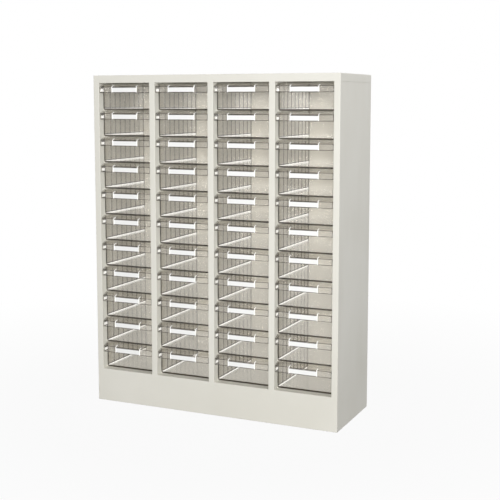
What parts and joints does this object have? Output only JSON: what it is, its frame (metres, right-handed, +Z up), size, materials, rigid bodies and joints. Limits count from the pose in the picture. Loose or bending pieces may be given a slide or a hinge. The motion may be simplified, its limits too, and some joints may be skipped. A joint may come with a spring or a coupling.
{
  "type": "parts cabinet",
  "caption": "Free-standing steel parts cabinet: columns of clear plastic drawers with label cards, on a plain plinth.",
  "frame": {"origin": "on the surface the cabinet stands on, under the middle of its outline", "axes": "+Z up, +X to the right of someone who faces the drawers, +Y from the drawers' fronts to the back panel"},
  "size_m": [0.691, 0.24, 0.88],
  "materials": {
    "cabinet_paint": "off-white baked enamel, satin, with a fine orange peel",
    "zinc_plate": "bright zinc plate",
    "clear_plastic": "clear moulded styrene, glossy",
    "label_card": "smooth white card, matt"
  },
  "bodies": {
    "cabinet": {"front_frame": "cabinet_paint", "left_side_panel": "cabinet_paint", "right_side_panel": "cabinet_paint", "top_cap": "cabinet_paint", "back_panel": "cabinet_paint", "bottom_deck": "cabinet_paint", "back_screws": "zinc_plate", "upright_1": "cabinet_paint", "upright_2": "cabinet_paint", "upright_3": "cabinet_paint", "upright_4": "cabinet_paint", "upright_5": "cabinet_paint", "runners_c1": "cabinet_paint", "runners_c2": "cabinet_paint", "runners_c3": "cabinet_paint", "runners_c4": "cabinet_paint"},
    "drawer_c1_r01": {"drawer_c1_r01": "clear_plastic"},
    "drawer_c1_r02": {"drawer_c1_r02": "clear_plastic"},
    "drawer_c1_r03": {"drawer_c1_r03": "clear_plastic"},
    "drawer_c1_r04": {"drawer_c1_r04": "clear_plastic"},
    "drawer_c1_r05": {"drawer_c1_r05": "clear_plastic"},
    "drawer_c1_r06": {"drawer_c1_r06": "clear_plastic"},
    "drawer_c1_r07": {"drawer_c1_r07": "clear_plastic"},
    "drawer_c1_r08": {"drawer_c1_r08": "clear_plastic"},
    "drawer_c1_r09": {"drawer_c1_r09": "clear_plastic"},
    "drawer_c1_r10": {"drawer_c1_r10": "clear_plastic"},
    "drawer_c1_r11": {"drawer_c1_r11": "clear_plastic"},
    "drawer_c2_r01": {"drawer_c2_r01": "clear_plastic"},
    "drawer_c2_r02": {"drawer_c2_r02": "clear_plastic"},
    "drawer_c2_r03": {"drawer_c2_r03": "clear_plastic"},
    "drawer_c2_r04": {"drawer_c2_r04": "clear_plastic"},
    "drawer_c2_r05": {"drawer_c2_r05": "clear_plastic"},
    "drawer_c2_r06": {"drawer_c2_r06": "clear_plastic"},
    "drawer_c2_r07": {"drawer_c2_r07": "clear_plastic"},
    "drawer_c2_r08": {"drawer_c2_r08": "clear_plastic"},
    "drawer_c2_r09": {"drawer_c2_r09": "clear_plastic"},
    "drawer_c2_r10": {"drawer_c2_r10": "clear_plastic"},
    "drawer_c2_r11": {"drawer_c2_r11": "clear_plastic"},
    "drawer_c3_r01": {"drawer_c3_r01": "clear_plastic"},
    "drawer_c3_r02": {"drawer_c3_r02": "clear_plastic"},
    "drawer_c3_r03": {"drawer_c3_r03": "clear_plastic"},
    "drawer_c3_r04": {"drawer_c3_r04": "clear_plastic"},
    "drawer_c3_r05": {"drawer_c3_r05": "clear_plastic"},
    "drawer_c3_r06": {"drawer_c3_r06": "clear_plastic"},
    "drawer_c3_r07": {"drawer_c3_r07": "clear_plastic"},
    "drawer_c3_r08": {"drawer_c3_r08": "clear_plastic"},
    "drawer_c3_r09": {"drawer_c3_r09": "clear_plastic"},
    "drawer_c3_r10": {"drawer_c3_r10": "clear_plastic"},
    "drawer_c3_r11": {"drawer_c3_r11": "clear_plastic"},
    "drawer_c4_r01": {"drawer_c4_r01": "clear_plastic"},
    "drawer_c4_r02": {"drawer_c4_r02": "clear_plastic"},
    "drawer_c4_r03": {"drawer_c4_r03": "clear_plastic"},
    "drawer_c4_r04": {"drawer_c4_r04": "clear_plastic"},
    "drawer_c4_r05": {"drawer_c4_r05": "clear_plastic"},
    "drawer_c4_r06": {"drawer_c4_r06": "clear_plastic"},
    "drawer_c4_r07": {"drawer_c4_r07": "clear_plastic"},
    "drawer_c4_r08": {"drawer_c4_r08": "clear_plastic"},
    "drawer_c4_r09": {"drawer_c4_r09": "clear_plastic"},
    "drawer_c4_r10": {"drawer_c4_r10": "clear_plastic"},
    "drawer_c4_r11": {"drawer_c4_r11": "clear_plastic"}
  },
  "joints": [
    {"name": "drawer_c1_r01_slide", "type": "slide", "parent": "cabinet", "child": "drawer_c1_r01", "axis": [0, -1, 0], "range_m": [0, 0.162]},
    {"name": "drawer_c1_r02_slide", "type": "slide", "parent": "cabinet", "child": "drawer_c1_r02", "axis": [0, -1, 0], "range_m": [0, 0.162]},
    {"name": "drawer_c1_r03_slide", "type": "slide", "parent": "cabinet", "child": "drawer_c1_r03", "axis": [0, -1, 0], "range_m": [0, 0.162]},
    {"name": "drawer_c1_r04_slide", "type": "slide", "parent": "cabinet", "child": "drawer_c1_r04", "axis": [0, -1, 0], "range_m": [0, 0.162]},
    {"name": "drawer_c1_r05_slide", "type": "slide", "parent": "cabinet", "child": "drawer_c1_r05", "axis": [0, -1, 0], "range_m": [0, 0.162]},
    {"name": "drawer_c1_r06_slide", "type": "slide", "parent": "cabinet", "child": "drawer_c1_r06", "axis": [0, -1, 0], "range_m": [0, 0.162]},
    {"name": "drawer_c1_r07_slide", "type": "slide", "parent": "cabinet", "child": "drawer_c1_r07", "axis": [0, -1, 0], "range_m": [0, 0.162]},
    {"name": "drawer_c1_r08_slide", "type": "slide", "parent": "cabinet", "child": "drawer_c1_r08", "axis": [0, -1, 0], "range_m": [0, 0.162]},
    {"name": "drawer_c1_r09_slide", "type": "slide", "parent": "cabinet", "child": "drawer_c1_r09", "axis": [0, -1, 0], "range_m": [0, 0.162]},
    {"name": "drawer_c1_r10_slide", "type": "slide", "parent": "cabinet", "child": "drawer_c1_r10", "axis": [0, -1, 0], "range_m": [0, 0.162]},
    {"name": "drawer_c1_r11_slide", "type": "slide", "parent": "cabinet", "child": "drawer_c1_r11", "axis": [0, -1, 0], "range_m": [0, 0.162]},
    {"name": "drawer_c2_r01_slide", "type": "slide", "parent": "cabinet", "child": "drawer_c2_r01", "axis": [0, -1, 0], "range_m": [0, 0.162]},
    {"name": "drawer_c2_r02_slide", "type": "slide", "parent": "cabinet", "child": "drawer_c2_r02", "axis": [0, -1, 0], "range_m": [0, 0.162]},
    {"name": "drawer_c2_r03_slide", "type": "slide", "parent": "cabinet", "child": "drawer_c2_r03", "axis": [0, -1, 0], "range_m": [0, 0.162]},
    {"name": "drawer_c2_r04_slide", "type": "slide", "parent": "cabinet", "child": "drawer_c2_r04", "axis": [0, -1, 0], "range_m": [0, 0.162]},
    {"name": "drawer_c2_r05_slide", "type": "slide", "parent": "cabinet", "child": "drawer_c2_r05", "axis": [0, -1, 0], "range_m": [0, 0.162]},
    {"name": "drawer_c2_r06_slide", "type": "slide", "parent": "cabinet", "child": "drawer_c2_r06", "axis": [0, -1, 0], "range_m": [0, 0.162]},
    {"name": "drawer_c2_r07_slide", "type": "slide", "parent": "cabinet", "child": "drawer_c2_r07", "axis": [0, -1, 0], "range_m": [0, 0.162]},
    {"name": "drawer_c2_r08_slide", "type": "slide", "parent": "cabinet", "child": "drawer_c2_r08", "axis": [0, -1, 0], "range_m": [0, 0.162]},
    {"name": "drawer_c2_r09_slide", "type": "slide", "parent": "cabinet", "child": "drawer_c2_r09", "axis": [0, -1, 0], "range_m": [0, 0.162]},
    {"name": "drawer_c2_r10_slide", "type": "slide", "parent": "cabinet", "child": "drawer_c2_r10", "axis": [0, -1, 0], "range_m": [0, 0.162]},
    {"name": "drawer_c2_r11_slide", "type": "slide", "parent": "cabinet", "child": "drawer_c2_r11", "axis": [0, -1, 0], "range_m": [0, 0.162]},
    {"name": "drawer_c3_r01_slide", "type": "slide", "parent": "cabinet", "child": "drawer_c3_r01", "axis": [0, -1, 0], "range_m": [0, 0.162]},
    {"name": "drawer_c3_r02_slide", "type": "slide", "parent": "cabinet", "child": "drawer_c3_r02", "axis": [0, -1, 0], "range_m": [0, 0.162]},
    {"name": "drawer_c3_r03_slide", "type": "slide", "parent": "cabinet", "child": "drawer_c3_r03", "axis": [0, -1, 0], "range_m": [0, 0.162]},
    {"name": "drawer_c3_r04_slide", "type": "slide", "parent": "cabinet", "child": "drawer_c3_r04", "axis": [0, -1, 0], "range_m": [0, 0.162]},
    {"name": "drawer_c3_r05_slide", "type": "slide", "parent": "cabinet", "child": "drawer_c3_r05", "axis": [0, -1, 0], "range_m": [0, 0.162]},
    {"name": "drawer_c3_r06_slide", "type": "slide", "parent": "cabinet", "child": "drawer_c3_r06", "axis": [0, -1, 0], "range_m": [0, 0.162]},
    {"name": "drawer_c3_r07_slide", "type": "slide", "parent": "cabinet", "child": "drawer_c3_r07", "axis": [0, -1, 0], "range_m": [0, 0.162]},
    {"name": "drawer_c3_r08_slide", "type": "slide", "parent": "cabinet", "child": "drawer_c3_r08", "axis": [0, -1, 0], "range_m": [0, 0.162]},
    {"name": "drawer_c3_r09_slide", "type": "slide", "parent": "cabinet", "child": "drawer_c3_r09", "axis": [0, -1, 0], "range_m": [0, 0.162]},
    {"name": "drawer_c3_r10_slide", "type": "slide", "parent": "cabinet", "child": "drawer_c3_r10", "axis": [0, -1, 0], "range_m": [0, 0.162]},
    {"name": "drawer_c3_r11_slide", "type": "slide", "parent": "cabinet", "child": "drawer_c3_r11", "axis": [0, -1, 0], "range_m": [0, 0.162]},
    {"name": "drawer_c4_r01_slide", "type": "slide", "parent": "cabinet", "child": "drawer_c4_r01", "axis": [0, -1, 0], "range_m": [0, 0.162]},
    {"name": "drawer_c4_r02_slide", "type": "slide", "parent": "cabinet", "child": "drawer_c4_r02", "axis": [0, -1, 0], "range_m": [0, 0.162]},
    {"name": "drawer_c4_r03_slide", "type": "slide", "parent": "cabinet", "child": "drawer_c4_r03", "axis": [0, -1, 0], "range_m": [0, 0.162]},
    {"name": "drawer_c4_r04_slide", "type": "slide", "parent": "cabinet", "child": "drawer_c4_r04", "axis": [0, -1, 0], "range_m": [0, 0.162]},
    {"name": "drawer_c4_r05_slide", "type": "slide", "parent": "cabinet", "child": "drawer_c4_r05", "axis": [0, -1, 0], "range_m": [0, 0.162]},
    {"name": "drawer_c4_r06_slide", "type": "slide", "parent": "cabinet", "child": "drawer_c4_r06", "axis": [0, -1, 0], "range_m": [0, 0.162]},
    {"name": "drawer_c4_r07_slide", "type": "slide", "parent": "cabinet", "child": "drawer_c4_r07", "axis": [0, -1, 0], "range_m": [0, 0.162]},
    {"name": "drawer_c4_r08_slide", "type": "slide", "parent": "cabinet", "child": "drawer_c4_r08", "axis": [0, -1, 0], "range_m": [0, 0.162]},
    {"name": "drawer_c4_r09_slide", "type": "slide", "parent": "cabinet", "child": "drawer_c4_r09", "axis": [0, -1, 0], "range_m": [0, 0.162]},
    {"name": "drawer_c4_r10_slide", "type": "slide", "parent": "cabinet", "child": "drawer_c4_r10", "axis": [0, -1, 0], "range_m": [0, 0.162]},
    {"name": "drawer_c4_r11_slide", "type": "slide", "parent": "cabinet", "child": "drawer_c4_r11", "axis": [0, -1, 0], "range_m": [0, 0.162]}
  ]
}
